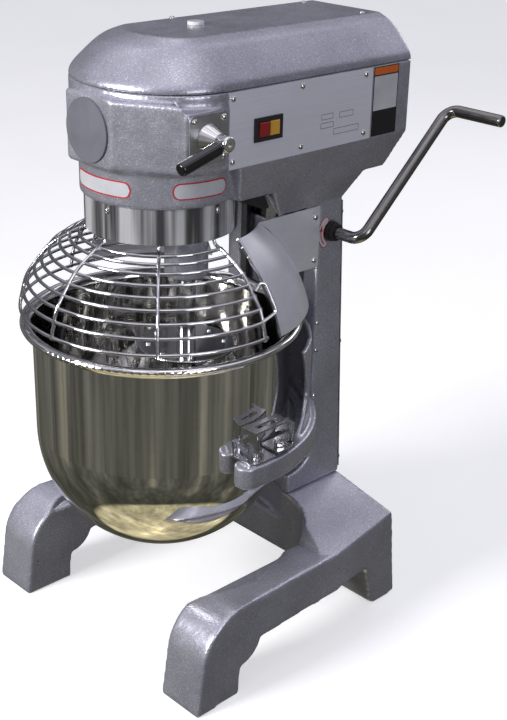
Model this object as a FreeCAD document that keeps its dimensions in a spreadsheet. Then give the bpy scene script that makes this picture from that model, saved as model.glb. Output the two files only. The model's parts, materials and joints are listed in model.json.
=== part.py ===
import FreeCAD, Part
import math
import os

import Sketcher

# Commercial 20 litre planetary stand mixer, in millimetres.
# X points to the operator's control side, -Y to the front (bowl and attachment hub), +Z up.
# The origin is on the floor, under the middle of the machine's bounding box.
# Every piece is drawn about the bowl axis and then placed bowl_axis_y along Y.

V = FreeCAD.Vector
doc = FreeCAD.newDocument("StandMixer")
sheet = doc.addObject("Spreadsheet::Sheet", "dims")

SIZES = {
    "bowl_axis_y": -97.5,
    # base casting
    "foot_front_y": -123, "foot_length": 72, "foot_outer_x": 208.5, "leg_outer_x_rear": 184,
    "leg_inner_x": 141, "leg_top_z": 120, "leg_under_z": 62, "leg_rear_y": 262, "rear_foot_length": 46,
    "base_top_z": 152.6, "base_wall_y": 146, "base_corner_radius": 48, "rear_corner_z": 132,
    # column and head casting
    "column_half_width": 83.4, "column_front_y": 185, "column_rear_y": 226, "column_foot_rear_y": 246,
    "column_wall": 7, "head_half_width": 113.5, "head_nose_length": 98, "head_rear_y": 305,
    "head_low_z": 583, "head_side_z": 628, "head_seam_z": 716, "head_top_z": 766, "head_wall": 7,
    "skirt_radius": 95, "skirt_low_z": 585.5, "spigot_radius": 88.8, "planetary_bore": 84,
    # attachment hub
    "hub_axis_z": 669, "hub_half_width": 40, "hub_face_y": -104, "hub_cover_radius": 36,
    # bowl
    "bowl_radius": 157.5, "bowl_wall": 1.6, "bowl_knuckle_z": 282.5, "bowl_rim_radius": 172, "bowl_rim_z": 422,
    "bowl_bead": 4.5,
    # carriage
    "arm_low_z": 270, "arm_high_z": 297, "arm_inner": 165, "arm_outer": 194, "arm_end_y": -22,
    "slide_half_width": 53, "dovetail_half_width": 58, "dovetail_depth": 13,
    # guard
    "wire_radius": 2.1, "rib_step": 45, "guard_edge_angle": 98.5, "guard_flange_low_z": 467.5,
    "guard_low_z": 443, "guard_high_z": 546.5, "guard_sheet": 1.6,
    "band_radius": 90.5, "band_low_z": 543.2, "band_high_z": 585.1, "band_sheet": 1.3,
    # crank and lift
    "crank_y": 207, "crank_z": 509, "crank_rod": 7.5, "crank_elbow_x": 134, "crank_reach_y": 360,
    "crank_reach_z": 650, "crank_end_x": 217.5, "crank_bend": 17, "lift_module": 1.5, "crank_teeth": 24,
    "idler_teeth": 16, "idler_y": 201,
    # planetary
    "eccentricity": 45, "planet_module": 2.5, "ring_teeth": 54, "planet_teeth": 18,
    "spindle_radius": 8.5, "boss_radius": 26, "agitator_sleeve": 11.5,
    # drive
    "gear_module": 2, "main_teeth": 38, "lay_teeth": 23, "bevel_module": 3, "bevel_small_teeth": 16,
    "bevel_large_teeth": 32, "shaft_radius": 9, "lay_x": 57.8, "lay_z": 688.5, "motor_x": -18, "motor_z": 682,
    "motor_radius": 60, "motor_pulley_radius": 24, "lay_pulley_radius": 40, "belt_y": 158,
    # control side
    "panel_front_y": 1.5, "panel_rear_y": 233, "panel_low_z": 629.5, "panel_high_z": 715, "panel_sheet": 1.5,
    "label_front_y": 235.4, "label_rear_y": 281, "label_low_z": 630, "shift_y": -30.5, "shift_z": 670.5,
    "shift_plate": 55, "shift_face_x": 116,
}

row = 0
for name, size in SIZES.items():
    row += 1
    sheet.set(f"A{row}", name)
    sheet.set(f"B{row}", str(size))
    sheet.setAlias(f"B{row}", name)
doc.recompute()


class Dim(float):
    """A number that carries the spreadsheet formula it came from."""

    def __new__(cls, value, formula):
        dim = super().__new__(cls, value)
        dim.formula = formula
        return dim

    def __add__(self, other):
        return Dim(float(self) + float(other), f"({self.formula} + {text(other)})")

    def __radd__(self, other):
        return self + other

    def __sub__(self, other):
        return Dim(float(self) - float(other), f"({self.formula} - {text(other)})")

    def __rsub__(self, other):
        return Dim(float(other) - float(self), f"({text(other)} - {self.formula})")

    def __mul__(self, other):
        return Dim(float(self) * float(other), f"({self.formula} * {text(other)})")

    def __rmul__(self, other):
        return self * other

    def __truediv__(self, other):
        return Dim(float(self) / float(other), f"({self.formula} / {text(other)})")

    def __neg__(self):
        return Dim(-float(self), f"(0 - {self.formula})")


def text(number):
    return number.formula if isinstance(number, Dim) else repr(float(number))


def size(alias):
    """The sheet's value for this alias, as a Dim."""
    return Dim(sheet.get(alias), f"dims.{alias}")


def bind(item, name, number):
    """Sets a property and ties it to the sheet."""
    if isinstance(number, Dim):
        item.setExpression(name, number.formula)
    else:
        setattr(item, name, number)


AXIS_Y = size("bowl_axis_y")
node_items = []


def node(item, label):
    """Registers a finished piece: its label is its file name."""
    item.Label = label
    item.Placement = FreeCAD.Placement(V(0, float(AXIS_Y), 0), FreeCAD.Rotation())
    item.setExpression("Placement.Base.y", AXIS_Y.formula)
    node_items.append(item)
    return item


def solid(label, shape):
    """A piece whose shape is made with Part's own functions."""
    item = doc.addObject("Part::Feature", label)
    item.Shape = shape if shape.Placement.isIdentity() else Part.makeCompound([shape])
    return node(item, label)


# ---- PartDesign helpers --------------------------------------------------------------------------

NORMAL_SIGN = {"XY_Plane": 1, "XZ_Plane": -1, "YZ_Plane": 1}


def body(label):
    return node(doc.addObject("PartDesign::Body", label), label)


def circle(x, y, radius):
    return ("circle", x, y, radius)


def rectangle(x0, y0, x1, y1):
    return [(x0, y0), (x1, y0), (x1, y1), (x0, y1)]


def place_point(sketch, geometry, end, x, y):
    for kind, number in (("DistanceX", x), ("DistanceY", y)):
        index = sketch.addConstraint(Sketcher.Constraint(kind, -1, 1, geometry, end, float(number)))
        if isinstance(number, Dim):
            sketch.setExpression(f"Constraints[{index}]", number.formula)


def add_loop(sketch, corners):
    """Closed loop of lines; a corner (x, y, r) is reached by an arc of radius r, turning left if r > 0."""
    if corners[0] == "circle":
        _, x, y, radius = corners
        index = sketch.addGeometry(Part.Circle(V(float(x), float(y), 0), V(0, 0, 1), float(radius)), False)
        place_point(sketch, index, 3, x, y)
        fixed = sketch.addConstraint(Sketcher.Constraint("Radius", index, float(radius)))
        if isinstance(radius, Dim):
            sketch.setExpression(f"Constraints[{fixed}]", radius.formula)
        return
    first = sketch.GeometryCount
    for number, corner in enumerate(corners):
        start = V(float(corners[number - 1][0]), float(corners[number - 1][1]), 0)
        end = V(float(corner[0]), float(corner[1]), 0)
        if len(corner) == 3:
            sketch.addGeometry(arc_between(start, end, float(corner[2])), False)
            fixed = sketch.addConstraint(Sketcher.Constraint("Radius", first + number, abs(float(corner[2]))))
            if isinstance(corner[2], Dim):
                radius = corner[2] if float(corner[2]) > 0 else -corner[2]
                sketch.setExpression(f"Constraints[{fixed}]", radius.formula)
        else:
            sketch.addGeometry(Part.LineSegment(start, end), False)
    for number, corner in enumerate(corners):
        end = arc_end(corner)
        place_point(sketch, first + number, end, corner[0], corner[1])
        follower = corners[(number + 1) % len(corners)]
        start = 3 - arc_end(follower)
        after = first + (number + 1) % len(corners)
        sketch.addConstraint(Sketcher.Constraint("Coincident", first + number, end, after, start))


def arc_end(corner):
    """The sketcher's arcs run anticlockwise, so one that turns right ends at its start point."""
    return 1 if len(corner) == 3 and float(corner[2]) < 0 else 2


def arc_between(start, end, radius):
    chord = end - start
    middle = (start + end) * 0.5
    rise = math.sqrt(max(radius ** 2 - (chord.Length / 2) ** 2, 0.0))
    left = V(-chord.y, chord.x, 0).normalize()
    centre = middle + left * (rise if radius > 0 else -rise)
    first, last = (start, end) if radius > 0 else (end, start)
    angles = [math.atan2(point.y - centre.y, point.x - centre.x) for point in (first, last)]
    return Part.ArcOfCircle(Part.Circle(centre, V(0, 0, 1), abs(radius)), angles[0], angles[1])


def sketch_on(piece, plane, start, loops):
    sketch = piece.newObject("Sketcher::SketchObject", "Sketch")
    origin = next(feature for feature in piece.Origin.OriginFeatures if feature.Role == plane)
    sketch.AttachmentSupport = [(origin, "")]
    sketch.MapMode = "FlatFace"
    offset = start * NORMAL_SIGN[plane]
    sketch.AttachmentOffset = FreeCAD.Placement(V(0, 0, float(offset)), FreeCAD.Rotation())
    if isinstance(offset, Dim):
        sketch.setExpression("AttachmentOffset.Base.z", offset.formula)
    for loop in loops:
        add_loop(sketch, loop)
    return sketch


def pad(piece, plane, start, length, loops):
    """Adds material from start to start + length along the plane's own axis."""
    feature = piece.newObject("PartDesign::Pad", "Pad")
    feature.Profile = sketch_on(piece, plane, start, loops)
    bind(feature, "Length", length)
    feature.Reversed = NORMAL_SIGN[plane] < 0
    return feature


def pocket(piece, plane, start, length, loops):
    """Cuts the same stretch away."""
    doc.recompute()
    before = piece.Shape.Volume
    feature = piece.newObject("PartDesign::Pocket", "Pocket")
    feature.Profile = sketch_on(piece, plane, start, loops)
    bind(feature, "Length", length)
    feature.Reversed = NORMAL_SIGN[plane] > 0
    doc.recompute()
    if piece.Shape.Volume >= before - 0.01:
        raise RuntimeError(f"a pocket in {piece.Label} cut nothing")
    return feature


def turned(label, loop):
    """A body turned about Z from a half section of (radius, height) corners."""
    piece = body(label)
    feature = piece.newObject("PartDesign::Revolution", "Revolution")
    sketch = sketch_on(piece, "XZ_Plane", 0, [loop])
    feature.Profile = sketch
    feature.ReferenceAxis = (sketch, ["V_Axis"])
    feature.Angle = 360
    return piece


def round_edges(piece, radius, chosen):
    """Fillets the edges of the body's tip that the test picks."""
    doc.recompute()
    tip = piece.Tip
    names = [f"Edge{number + 1}" for number, edge in enumerate(tip.Shape.Edges) if chosen(edge)]
    feature = piece.newObject("PartDesign::Fillet", "Fillet")
    feature.Base = (tip, names)
    bind(feature, "Radius", radius)
    return feature


def along(axis):
    """Picks straight edges that run along one axis."""
    def test(edge):
        if not isinstance(edge.Curve, (Part.Line, Part.LineSegment)):
            return False
        return abs(edge.tangentAt(edge.FirstParameter).dot(axis)) > 0.999
    return test


# ---- Part helpers --------------------------------------------------------------------------------

X, Y, Z = V(1, 0, 0), V(0, 1, 0), V(0, 0, 1)


def box(x0, x1, y0, y1, z0, z1):
    return Part.makeBox(x1 - x0, y1 - y0, z1 - z0, V(x0, y0, z0))


def cylinder(radius, start, end):
    return Part.makeCylinder(radius, (end - start).Length, start, end - start)


def tube(outer, inner, start, end):
    return cylinder(outer, start, end).cut(cylinder(inner, start, end))


def curve_wire(corners, to_point):
    """A closed wire from (u, v) corners; a corner (u, v, r) is reached by an arc of radius r."""
    edges = []
    for number, corner in enumerate(corners):
        start = V(float(corners[number - 1][0]), float(corners[number - 1][1]), 0)
        end = V(float(corner[0]), float(corner[1]), 0)
        if len(corner) == 3:
            arc = arc_between(start, end, float(corner[2]))
            middle = arc.value((arc.FirstParameter + arc.LastParameter) / 2)
            edges.append(Part.Arc(to_point(start), to_point(middle), to_point(end)).toShape())
        else:
            edges.append(Part.makeLine(to_point(start), to_point(end)))
    return Part.Wire(edges)


def prism_x(corners, x0, x1):
    wire = curve_wire(corners, lambda p: V(x0, p.x, p.y))
    return Part.Face(wire).extrude(V(x1 - x0, 0, 0))


def prism_z(corners, z0, z1):
    wire = curve_wire(corners, lambda p: V(p.x, p.y, z0))
    return Part.Face(wire).extrude(V(0, 0, z1 - z0))


def fillet_where(shape, radius, chosen):
    return shape.makeFillet(radius, [edge for edge in shape.Edges if chosen(edge)])


def pan_screw(place, outward, head=4.2, height=2.6, shank=2.0, length=8.0):
    """Pan head screw: a domed head on the face at place, and its shank going in."""
    dome = Part.makeSphere(head * 1.25, place - outward * (head * 1.25 - height))
    head_shape = cylinder(head, place, place + outward * height).common(dome)
    slot = Part.makeBox(head * 3, 0.9, 1.4, V(-head * 1.5, -0.45, -1.2))
    slot.Placement = FreeCAD.Placement(place + outward * height, FreeCAD.Rotation(Z, outward))
    return head_shape.cut(slot).fuse(cylinder(shank, place - outward * length, place)).removeSplitter()


def gear_corners(teeth, root, tip, pitch, backlash=0.0, flank=math.tan(math.radians(20))):
    """Corners of a gear with straight-sided teeth; a tooth is centred on angle 0."""
    quarter = math.pi / (2 * teeth)
    corners = []
    for tooth in range(teeth):
        middle = 2 * math.pi * tooth / teeth
        for side, radii in ((-1, (root, tip)), (1, (tip, root))):
            for radius in radii:
                half = quarter - (radius - pitch) * flank / pitch - backlash / pitch
                angle = middle + side * half
                corners.append((radius * math.cos(angle), radius * math.sin(angle)))
    return corners


def polygon_face(points):
    return Part.Face(Part.makePolygon(points + points[:1]))


def spur_gear(teeth, module, start, width, axis, bore, phase=0.0, backlash=0.12):
    """Spur gear about an axis through start, turned by phase radians."""
    pitch = module * teeth / 2
    corners = gear_corners(teeth, pitch - 1.25 * module, pitch + 0.85 * module, pitch, backlash)
    shape = polygon_face([V(x, y, 0) for x, y in corners]).extrude(V(0, 0, width))
    shape = shape.cut(Part.makeCylinder(bore, width)) if bore else shape
    shape.rotate(V(), Z, math.degrees(phase))
    shape.Placement = FreeCAD.Placement(start, FreeCAD.Rotation(Z, axis)).multiply(shape.Placement)
    return shape


def bevel_gear(teeth, module, mate, apex, axis, bore, face=0.3, phase=0.0):
    """Straight bevel gear: its teeth taper to the apex where both axes meet."""
    pitch = module * teeth / 2
    cone = math.atan2(teeth, mate)
    depth = pitch / math.tan(cone)
    slant = pitch / math.sin(cone)
    tip = depth * math.tan(cone + 0.8 * module / slant)
    root = depth * math.tan(cone - 1.2 * module / slant)
    corners = gear_corners(teeth, root, tip, pitch, 0.2, math.tan(math.radians(20)) * math.cos(cone))
    wires = [Part.makePolygon([V(x * k, y * k, depth * k) for x, y in corners + corners[:1]])
             for k in (1, 1 - face)]
    shape = Part.makeLoft(wires, True, True)
    shape = shape.cut(Part.makeCylinder(bore, depth * 2))
    shape.rotate(V(), Z, math.degrees(phase))
    shape.Placement = FreeCAD.Placement(apex, FreeCAD.Rotation(Z, axis)).multiply(shape.Placement)
    return shape


def polar(radius, degrees, z):
    """Point about the bowl axis; 0 degrees is the front, 90 the control side."""
    angle = math.radians(degrees)
    return V(radius * math.sin(angle), -radius * math.cos(angle), z)


def bent_rod(points, radius, bend):
    """Round rod through the points, with tangent arcs at its corners."""
    edges, here = [], points[0]
    for before, corner, after in zip(points, points[1:], points[2:]):
        into, out = (corner - before).normalize(), (after - corner).normalize()
        half = math.acos(max(-1.0, min(1.0, into.dot(out)))) / 2
        reach = bend * math.tan(half)
        first, last = corner - into * reach, corner + out * reach
        middle = corner + (out - into).normalize() * (bend / math.cos(half) - bend)
        edges += [Part.makeLine(here, first), Part.Arc(first, middle, last).toShape()]
        here = last
    edges.append(Part.makeLine(here, points[-1]))
    path = Part.Wire(edges)
    profile = Part.Wire(Part.makeCircle(radius, points[0], points[1] - points[0]))
    return path.makePipeShell([profile], True, False)

# ---- Base ----------------------------------------------------------------------------------------

dim = {name: float(sheet.get(name)) for name in SIZES}
COLUMN_X, WALL_Y, FRONT_Y = dim["column_half_width"], dim["base_wall_y"], dim["column_front_y"]


def base():
    """Arched two-legged casting: side outline crossed with a U-shaped plan."""
    front, top, under = dim["foot_front_y"], dim["leg_top_z"], dim["leg_under_z"]
    heel, rear, corner = front + dim["foot_length"], dim["leg_rear_y"], dim["rear_corner_z"]
    toe = rear - dim["rear_foot_length"]
    side = [
        (rear, 0), (rear - 16, corner - 9), (rear - 26, corner, 10), (rear - 110, top - 4),
        (front + 80, top + 3), (front + 9, top - 58, 66), (front, 0), (heel, 0), (heel + 3, under - 26), (heel + 38, under, 38),
        (toe - 78, under - 3), (toe - 36, under + 7), (toe - 20, under - 4, -16), (toe - 8, 6), (toe, 0),
    ]
    casting = prism_x(side, -dim["foot_outer_x"], dim["foot_outer_x"])
    column_rear = dim["column_foot_rear_y"]
    crown = [(COLUMN_X, WALL_Y), (COLUMN_X, column_rear), (-COLUMN_X, column_rear), (-COLUMN_X, WALL_Y)]
    skirt = [(194.5, 106, 112), (189, column_rear, corner - 1), (-189, column_rear, corner - 1),
             (-194.5, 106, 112)]
    top_wire = Part.makePolygon([V(x, y, dim["base_top_z"]) for x, y in crown + crown[:1]])
    low_wire = Part.makePolygon([V(*point) for point in skirt + skirt[:1]])
    floor_wire = Part.makePolygon([V(x, y, under + 2) for x, y, _ in skirt + skirt[:1]])
    for wires in ((top_wire, low_wire), (low_wire, floor_wire)):
        casting = casting.fuse(Part.makeLoft(list(wires), True, True))
    outer, outer_rear, inner = dim["foot_outer_x"], dim["leg_outer_x_rear"], dim["leg_inner_x"]
    bend = dim["base_corner_radius"]
    plan = [
        (outer, front), (outer_rear, rear), (-outer_rear, rear), (-outer, front), (-inner, front),
        (-inner, WALL_Y - bend), (bend - inner, WALL_Y, -bend), (inner - bend, WALL_Y),
        (inner, WALL_Y - bend, -bend), (inner, front),
    ]
    casting = casting.common(prism_z(plan, 0, dim["base_top_z"]))
    casting = casting.cut(box(-outer_rear + 66, outer_rear - 66, toe - 40, rear + 1, -1, under))
    casting = casting.cut(box(-COLUMN_X + 9, COLUMN_X - 9, WALL_Y + 24, column_rear - 10, -1,
                              dim["base_top_z"] - 14))
    casting = casting.cut(cylinder(dim["bowl_radius"] + 5.5, V(0, 0, 112), V(0, 0, 200)))
    for x in (-60, 60):
        for y in (WALL_Y + 40, column_rear - 24):
            casting = casting.cut(cylinder(6.5, V(x, y, 100), V(x, y, 160)))
    return casting.removeSplitter()


solid("base", base())


# ---- Column and head castings --------------------------------------------------------------------


def head_prism(inset, low, high, rear=None):
    """Straight-sided head block with an elliptical nose."""
    half, nose = dim["head_half_width"] - inset, dim["head_nose_length"] - inset
    back = (dim["head_rear_y"] if rear is None else rear) - inset
    ellipse = Part.ArcOfEllipse(Part.Ellipse(V(0, 0, low), half, nose), math.pi, 2 * math.pi).toShape()
    lines = [
        Part.makeLine(V(half, 0, low), V(half, back, low)),
        Part.makeLine(V(half, back, low), V(-half, back, low)),
        Part.makeLine(V(-half, back, low), V(-half, 0, low)),
    ]
    return Part.Face(Part.Wire([ellipse] + lines)).extrude(V(0, 0, high - low))


def rectangle_wire(half, y0, y1, z):
    points = [V(half, y0, z), V(half, y1, z), V(-half, y1, z), V(-half, y0, z)]
    return Part.makePolygon(points + points[:1])


def slab_between(*wires):
    return Part.makeLoft(list(wires), True, True)


def body_casting():
    """Column and lower head in one casting, hollow, open at the column's rear and under the cover."""
    low, side, seam = dim["head_low_z"], dim["head_side_z"], dim["head_seam_z"]
    foot_rear, rear, foot = dim["column_foot_rear_y"], dim["column_rear_y"], dim["base_top_z"]
    profile = [
        (WALL_Y, foot), (foot_rear, foot), (foot_rear - 11, 366), (rear, 552), (rear + 14, 562),
        (rear + 16, low + 4), (FRONT_Y, low + 4), (FRONT_Y, 196), (FRONT_Y - 12, 186), (WALL_Y, 180, -34),
    ]
    casting = prism_x(profile, -COLUMN_X, COLUMN_X)
    half, head_rear = dim["head_half_width"], dim["head_rear_y"]
    casting = casting.fuse(head_prism(0, side, seam))
    casting = casting.fuse(slab_between(rectangle_wire(half, 20, head_rear, side),
                                        rectangle_wire(half - 16, 34, head_rear - 21, low)))
    casting = casting.fuse(slab_between(rectangle_wire(half - 16, FRONT_Y, rear + 22, low),
                                        rectangle_wire(COLUMN_X, FRONT_Y, rear, 550)))
    for cheek in (1, -1):
        inner, lip = cheek * (COLUMN_X - 4.6), dim["guard_high_z"] + 0.5
        sections = []
        for z, outer, first in ((low + 0.2, cheek * (half - 16), 90), (lip, cheek * COLUMN_X, 114)):
            back = FRONT_Y + 1
            corners = [V(inner, first, z), V(outer, first, z), V(outer, back, z), V(inner, back, z)]
            sections.append(Part.makePolygon(corners + corners[:1]))
        casting = casting.fuse(slab_between(*sections))
    casting = casting.fuse(cylinder(dim["skirt_radius"], V(0, 0, dim["skirt_low_z"]), V(0, 0, side + 10)))
    casting = casting.fuse(cylinder(dim["spigot_radius"], V(0, 0, 556), V(0, 0, side)))
    hub, hub_z, face = dim["hub_half_width"], dim["hub_axis_z"], dim["hub_face_y"]
    boss = fillet_where(box(-hub, hub, face, -60, hub_z - hub, hub_z + hub), 4,
                        lambda edge: edge.BoundBox.YLength > 40)
    casting = casting.fuse(boss)
    shift_half = dim["shift_plate"] / 2 + 2.5
    shift_y, shift_z, shift_x = dim["shift_y"], dim["shift_z"], dim["shift_face_x"]
    boss = fillet_where(box(84, shift_x, shift_y - shift_half, shift_y + shift_half, shift_z - shift_half,
                            shift_z + shift_half), 5, lambda edge: edge.BoundBox.XLength > 20)
    casting = casting.fuse(boss)
    shoulder = [(hub - 8, face), (hub, face), (shift_x - 4, shift_y - shift_half), (80, shift_y - shift_half),
                (hub - 8, -60)]
    casting = casting.fuse(prism_z(shoulder, hub_z - hub + 4, hub_z + hub - 1))
    wall = dim["head_wall"]
    casting = casting.cut(head_prism(wall, side + 6, seam + 1))
    casting = casting.cut(box(wall - half + 16, half - wall - 16, 104, head_rear - 34, low + wall, side + 7))
    casting = casting.cut(cylinder(dim["planetary_bore"], V(0, 0, 550), V(0, 0, 620)))
    casting = casting.cut(cylinder(24, V(0, 0, 600), V(0, 0, side + 20)))
    inner = COLUMN_X - dim["column_wall"]
    hollow = [(172, foot + 14), (foot_rear + 5, foot + 14), (foot_rear + 5, 548), (205, 548), (205, 190),
              (196, 184), (172, 172)]
    casting = casting.cut(prism_x(hollow, -inner, inner))
    casting = casting.cut(box(-inner, inner, 205, rear - 6, 540, low + wall + 1))
    dove = dim["dovetail_half_width"]
    casting = casting.cut(box(-dove, dove, FRONT_Y - 1, FRONT_Y + dim["dovetail_depth"], 188, 575))
    casting = casting.cut(box(-12, 12, FRONT_Y - 4, FRONT_Y + dim["dovetail_depth"], 545, 580))
    casting = casting.cut(box(-24, 24, FRONT_Y, 206, 462, 532))
    for side in (-1, 1):
        boss = box(24, 33, dim["idler_y"] - 8, dim["idler_y"] + 12, 470, 490)
        casting = casting.fuse(boss if side > 0 else boss.mirror(V(), X))
    casting = casting.cut(cylinder(5, V(-34, dim["idler_y"], 479.606), V(34, dim["idler_y"], 479.606)))
    casting = casting.cut(cylinder(dim["bowl_radius"] + 5.5, V(0, 0, foot - 1), V(0, 0, 200)))
    crank_y, crank_z = dim["crank_y"], dim["crank_z"]
    casting = casting.cut(cylinder(11, V(-90, crank_y, crank_z), V(90, crank_y, crank_z)))
    casting = casting.cut(cylinder(22, V(0, face - 1, hub_z), V(0, -40, hub_z)))
    groove_top = Z * (dim["band_high_z"] + 0.3)
    casting = casting.cut(tube(dim["band_radius"] + 0.4, dim["spigot_radius"], Z * 580, groove_top))
    casting = casting.cut(cylinder(7, V(90, shift_y, shift_z), V(120, shift_y, shift_z)))
    casting = casting.cut(box(105, 120, 41, 78, 657, 680))
    for x in (-60, 60):
        for y in (WALL_Y + 40, foot_rear - 24):
            casting = casting.cut(cylinder(6, V(x, y, foot - 1), V(x, y, foot + 22)))
    return casting.removeSplitter()


def top_cover():
    """Crowned cover: a flat oval top, shouldered sides and a rounded nose."""
    seam, top, rear = dim["head_seam_z"] + 0.2, dim["head_top_z"], dim["head_rear_y"]
    levels = ((seam, 0), (seam + 10, 3.5), (top - 30, 12), (top - 15, 27), (top - 5, 43), (top, 56.5))

    def shell(offset, drop):
        sections = []
        for z, inset in levels:
            half = dim["head_half_width"] - inset - offset
            nose = dim["head_nose_length"] - inset * 1.18 - offset
            z = z - drop if z > seam else z
            ends = (V(half, 0, z), V(0, -nose, z)) if half > nose else (V(0, -nose, z), V(half, 0, z))
            oval = Part.Ellipse(ends[0], ends[1], V(0, 0, z))
            start = oval.parameter(V(-half, 0, z))
            arc = Part.ArcOfEllipse(oval, start, start + math.pi)
            if arc.value(start + math.pi / 2).y > 0:
                arc = Part.ArcOfEllipse(oval, start - math.pi, start)
            back = rear - offset
            lines = [Part.makeLine(V(half, 0, z), V(half, back, z)),
                     Part.makeLine(V(half, back, z), V(-half, back, z)),
                     Part.makeLine(V(-half, back, z), V(-half, 0, z))]
            sections.append(Part.Wire([arc.toShape()] + lines))
        return Part.makeLoft(sections, True, False)

    cover = shell(0, 0).cut(shell(4, 4))
    cover = cover.cut(cylinder(5, V(-6, 58, top - 12), V(-6, 58, top + 1)))
    return cover


def screws(places, **form):
    """Pan head screws of one size; places are (point, outward) pairs."""
    return [pan_screw(point, outward, **form) for point, outward in places]


solid("body_casting", body_casting())
solid("top_cover", top_cover())
vent = V(-6, 58, dim["head_top_z"] + 0.1)
dome = fillet_where(cylinder(9.75, vent, vent + Z * 4), 1.5, lambda edge: edge.BoundBox.ZMin > vent.z + 3.5)
solid("breather_cap", dome.fuse(cylinder(4.6, vent - Z * 10, vent)))


def rear_plate():
    """Sheet cover on the open rear of the column, following its taper."""
    foot, rear = dim["column_foot_rear_y"], dim["column_rear_y"]
    profile = [(foot + 0.1, 160), (foot + 1.6, 160), (foot - 9.4, 366), (rear + 2, 545), (rear + 0.5, 545),
               (foot - 10.9, 366)]
    return prism_x(profile, -COLUMN_X + 1.5, COLUMN_X - 1.5).cut(cylinder(7.1, V(40, 230, 195), V(40, 260, 195)))


def column_rear_at(z):
    foot, rear = dim["column_foot_rear_y"], dim["column_rear_y"]
    return foot - 9.4 - (z - 366) * 11 / 206 if z < 366 else foot - 9.4 - (z - 366) * (foot - 11 - rear) / 179


solid("rear_cover", rear_plate())
cover_screws = screws([(V(-57, 66, dim["head_top_z"]), Z), (V(-50, 280, dim["head_top_z"]), Z),
                       (V(50, 280, dim["head_top_z"]), Z)], head=3.5, height=2, length=3)
cover_screws += screws([(V(side * (COLUMN_X - 5), column_rear_at(z) + 0.1, z), Y)
                        for side in (-1, 1) for z in (175, 350, 530)], length=9)
solid("cover_screws", Part.makeCompound(cover_screws))
gland = cylinder(7, V(40, 238, 195), V(40, 262, 195)).fuse(cylinder(11, V(40, 246.8, 195), V(40, 252, 195)))
gland = gland.fuse(Part.makeCone(7, 5, 8, V(40, 262, 195), Y)).cut(cylinder(4, V(40, 230, 195), V(40, 280, 195)))
solid("cord_gland", gland)

# ---- Attachment hub, shift plate and control panel -----------------------------------------------

HUB_Z, HUB_Y = size("hub_axis_z"), size("hub_face_y")
hub_cover = body("hub_cover")
pad(hub_cover, "XZ_Plane", HUB_Y - 2.5, 2.3, [circle(0, HUB_Z, size("hub_cover_radius"))])
hub_bush = body("hub_bush")
pad(hub_bush, "XZ_Plane", HUB_Y, 46, [circle(0, HUB_Z, 21.9), circle(0, HUB_Z, size("shaft_radius") + 4)])

SHIFT_Y, SHIFT_Z, SHIFT_X, PLATE = size("shift_y"), size("shift_z"), size("shift_face_x"), size("shift_plate")
shift_plate = body("shift_plate")
pad(shift_plate, "YZ_Plane", SHIFT_X, 1.6, [
    rectangle(SHIFT_Y - PLATE / 2, SHIFT_Z - PLATE / 2, SHIFT_Y + PLATE / 2, SHIFT_Z + PLATE / 2),
    circle(SHIFT_Y, SHIFT_Z, 7.2)])
round_edges(shift_plate, 7, along(X))
reach = float(PLATE) / 2 - 6.5
shift_corners = [V(float(SHIFT_X) + 1.6, float(SHIFT_Y) + y * reach, float(SHIFT_Z) + z * reach)
                 for y in (-1, 1) for z in (-1, 1)]
head_screws = screws([(point, X) for point in shift_corners], head=3.8)

panel = body("control_panel")
HEAD_X, SHEET = size("head_half_width"), size("panel_sheet")
pad(panel, "YZ_Plane", HEAD_X, SHEET, [
    rectangle(size("panel_front_y"), size("panel_low_z"), size("panel_rear_y"), size("panel_high_z")),
    rectangle(41.5, 657.5, 77.5, 679.5)])
panel_places = [V(dim["head_half_width"] + dim["panel_sheet"], y, z)
                for y in (6.5, 113.5, 221) for z in (638, 708)]
head_screws += screws([(point, X) for point in panel_places], head=3.6, height=2.2)
label_plate = body("safety_plate")
pad(label_plate, "YZ_Plane", HEAD_X, 0.8, [
    rectangle(size("label_front_y"), size("label_low_z"), size("label_rear_y"), size("panel_high_z"))])

FACE_X = HEAD_X + SHEET
bezel = body("switch_bezel")
pad(bezel, "YZ_Plane", FACE_X + 0.1, 2.4, [rectangle(38, 655, 81, 682)])
pad(bezel, "YZ_Plane", FACE_X - 18, 18.4, [rectangle(42, 658, 77, 679)])
pocket(bezel, "YZ_Plane", FACE_X - 15, 20, [rectangle(43.5, 659.5, 59, 677.5), rectangle(60, 659.5, 75.5, 677.5)])
for label, middle in (("stop_button", 51.25), ("start_button", 67.75)):
    button = body(label)
    pad(button, "YZ_Plane", FACE_X - 5, 9.4, [rectangle(middle - 7.3, 660.2, middle + 7.3, 676.8)])
    round_edges(button, 1.5, lambda edge: edge.BoundBox.XMin > dim["head_half_width"] + 5)

shift_axis = V(dim["shift_face_x"] + 1.9, dim["shift_y"], dim["shift_z"])
shift_hub = Part.makeCone(17, 9, 17, shift_axis, X).fuse(cylinder(9, shift_axis + X * 17, shift_axis + X * 33))
shift_hub = fillet_where(shift_hub, 3, lambda edge: edge.BoundBox.XMin > shift_axis.x + 32)
shift_hub = shift_hub.cut(cylinder(2.6, shift_axis + X * 30.5, shift_axis + X * 34))
shift_hub = shift_hub.fuse(cylinder(6.95, shift_axis - X * 18, shift_axis + X))
LEVER = V(0, -0.963, -0.27).normalize()
grip_start = shift_axis + X * 26 + LEVER * 9.5
grip = fillet_where(cylinder(7.8, grip_start, grip_start + LEVER * 57), 3, lambda edge: True)
solid("shift_grip", grip.cut(cylinder(4, grip_start, grip_start + LEVER * 34)))
solid("shift_hub", shift_hub.fuse(cylinder(4, shift_axis + X * 26, grip_start + LEVER * 33.5)))

# ---- Collar band, splash guard and wire guard ----------------------------------------------------

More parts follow.
